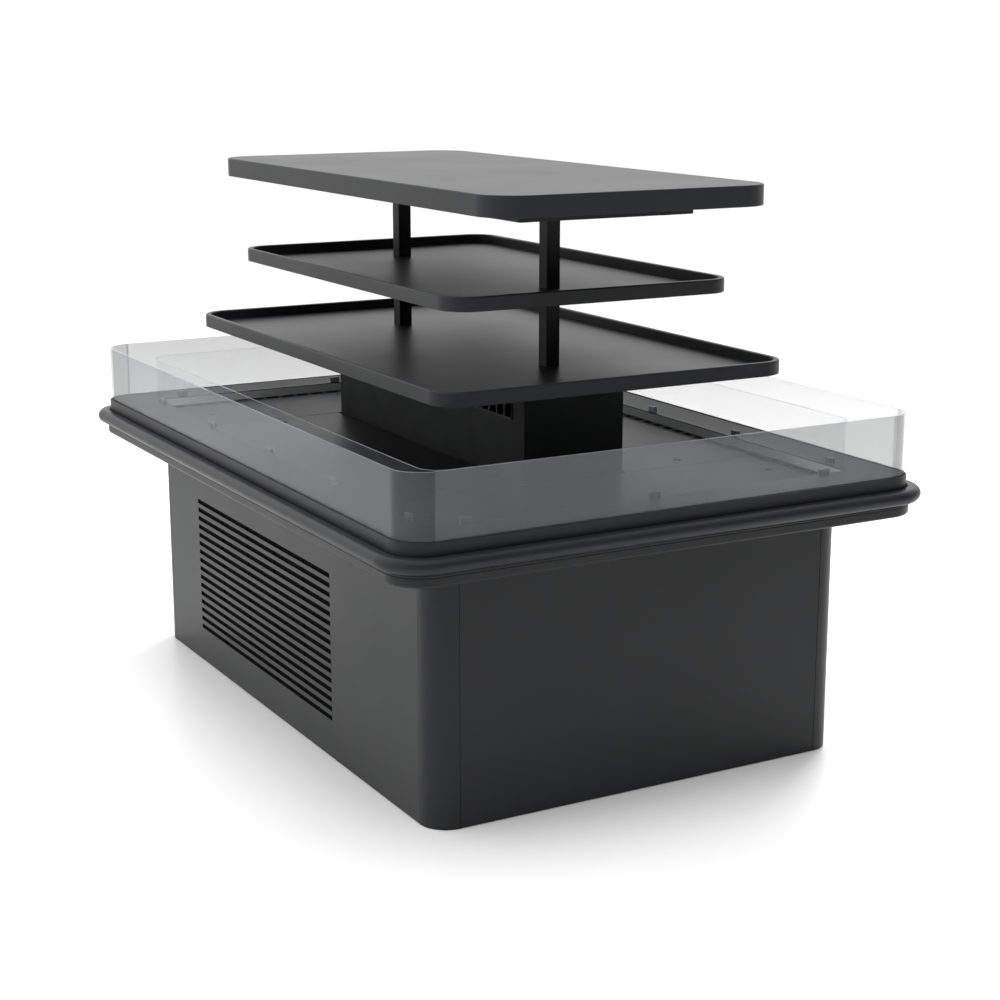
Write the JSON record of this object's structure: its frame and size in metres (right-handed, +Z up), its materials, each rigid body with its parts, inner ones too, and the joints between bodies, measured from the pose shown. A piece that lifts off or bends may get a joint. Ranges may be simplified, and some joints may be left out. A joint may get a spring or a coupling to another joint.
{
  "type": "refrigerated island merchandiser",
  "caption": "Open refrigerated island merchandiser: louvred dark cabinet, wide bumper rim, clear guards, display deck, tray shelves on central uprights and a flat canopy.",
  "frame": {"origin": "centre of the cabinet's footprint, on the floor", "axes": "+X to the right across the short end, +Y back along the louvred long side, +Z up"},
  "size_m": [1.5578, 2.1898, 1.5],
  "materials": {
    "charcoal_paint": "fine-textured satin powder coat",
    "black_paint": "satin black powder coat",
    "bumper_vinyl": "matt extruded vinyl",
    "gasket_rubber": "matt",
    "guard_acrylic": "polished clear sheet",
    "galvanised_steel": "zinc-coated sheet",
    "stainless_steel": "brushed",
    "fin_aluminium": "mill finish",
    "copper_tube": "drawn tube",
    "liner_enamel": "white coated sheet",
    "insulation_foam": "rigid foam",
    "black_plastic": "fine-grained moulding",
    "white_plastic": "extruded pipe",
    "opal_plastic": "opal diffuser"
  },
  "bodies": {
    "cabinet": {"base_frame": "galvanised_steel", "side_panel_right": "charcoal_paint", "end_panel_front": "charcoal_paint", "end_panel_rear": "charcoal_paint", "corner_panel_front_left": "charcoal_paint", "corner_panel_front_right": "charcoal_paint", "corner_panel_rear_right": "charcoal_paint", "corner_panel_rear_left": "charcoal_paint", "unit_tray": "galvanised_steel", "compressor": "black_paint", "compressor_mounts": "gasket_rubber", "condenser_coil": "fin_aluminium", "fan_shroud": "black_paint", "condenser_motor": "black_paint", "liquid_line": "copper_tube", "suction_line": "copper_tube", "condensate_pan": "galvanised_steel", "drain_pipe": "white_plastic", "electrical_box": "galvanised_steel", "control_bezel": "black_plastic", "power_inlet": "black_plastic", "tank_shell": "galvanised_steel", "tank_insulation": "insulation_foam", "tank_liner": "liner_enamel", "evaporator_coil": "fin_aluminium", "evap_fan_plate": "galvanised_steel", "evap_motors": "black_paint", "pan_supports": "stainless_steel", "return_grille": "black_paint", "top_frame": "charcoal_paint", "bumper": "bumper_vinyl", "guard_gasket": "gasket_rubber", "outer_guard": "guard_acrylic", "inner_fence": "guard_acrylic", "fence_clips": "stainless_steel", "plenum": "black_paint", "discharge_grilles": "black_plastic", "upright_front": "black_paint", "upright_rear": "black_paint", "lower_shelf": "charcoal_paint", "upper_shelf": "charcoal_paint", "shelf_brackets": "black_paint", "canopy": "charcoal_paint", "canopy_soffit": "black_paint", "lamp_diffusers": "opal_plastic"},
    "louvre": {"louvre_panel": "charcoal_paint", "air_filter": "black_plastic"},
    "condenser_fan": {"condenser_fan": "fin_aluminium"},
    "evap_fan_left": {"evap_fan_left": "black_plastic"},
    "evap_fan_right": {"evap_fan_right": "black_plastic"},
    "power_rocker": {"power_rocker": "black_plastic"},
    "thermostat_knob": {"thermostat_knob": "black_plastic"},
    "foot_1": {"levelling_foot_1": "stainless_steel"},
    "foot_2": {"levelling_foot_2": "stainless_steel"},
    "foot_3": {"levelling_foot_3": "stainless_steel"},
    "foot_4": {"levelling_foot_4": "stainless_steel"},
    "pan_front": {"deck_pan_front": "charcoal_paint"},
    "pan_rear": {"deck_pan_rear": "charcoal_paint"},
    "pan_left": {"deck_pan_left": "charcoal_paint"},
    "pan_right": {"deck_pan_right": "charcoal_paint"}
  },
  "joints": [
    {"name": "louvre_lift_off", "type": "slide", "parent": "cabinet", "child": "louvre", "axis": [-1, 0, 0], "range_m": [0, 0.12]},
    {"name": "condenser_fan_spin", "type": "hinge", "parent": "cabinet", "child": "condenser_fan", "pos_m": [-0.4665, 0.129, 0.207], "axis": [1, 0, 0], "continuous": true},
    {"name": "evap_fan_left_spin", "type": "hinge", "parent": "cabinet", "child": "evap_fan_left", "pos_m": [-0.22, 0.406, 0.57], "axis": [0, 1, 0], "continuous": true},
    {"name": "evap_fan_right_spin", "type": "hinge", "parent": "cabinet", "child": "evap_fan_right", "pos_m": [0.22, 0.406, 0.57], "axis": [0, 1, 0], "continuous": true},
    {"name": "power_rocker_tilt", "type": "hinge", "parent": "cabinet", "child": "power_rocker", "pos_m": [0.6045, -0.54, 0.25], "axis": [0, 1, 0], "range_deg": [-16, 0]},
    {"name": "thermostat_turn", "type": "hinge", "parent": "cabinet", "child": "thermostat_knob", "pos_m": [0.61, -0.466, 0.25], "axis": [1, 0, 0], "range_deg": [0, 270]},
    {"name": "foot_1_screw", "type": "slide", "parent": "cabinet", "child": "foot_1", "axis": [0, 0, -1], "range_m": [0, 0.012]},
    {"name": "foot_2_screw", "type": "slide", "parent": "cabinet", "child": "foot_2", "axis": [0, 0, -1], "range_m": [0, 0.012]},
    {"name": "foot_3_screw", "type": "slide", "parent": "cabinet", "child": "foot_3", "axis": [0, 0, -1], "range_m": [0, 0.012]},
    {"name": "foot_4_screw", "type": "slide", "parent": "cabinet", "child": "foot_4", "axis": [0, 0, -1], "range_m": [0, 0.012]},
    {"name": "pan_front_lift", "type": "slide", "parent": "cabinet", "child": "pan_front", "axis": [0, 0, 1], "range_m": [0, 0.2]},
    {"name": "pan_rear_lift", "type": "slide", "parent": "cabinet", "child": "pan_rear", "axis": [0, 0, 1], "range_m": [0, 0.2]},
    {"name": "pan_left_lift", "type": "slide", "parent": "cabinet", "child": "pan_left", "axis": [0, 0, 1], "range_m": [0, 0.2]},
    {"name": "pan_right_lift", "type": "slide", "parent": "cabinet", "child": "pan_right", "axis": [0, 0, 1], "range_m": [0, 0.2]}
  ]
}
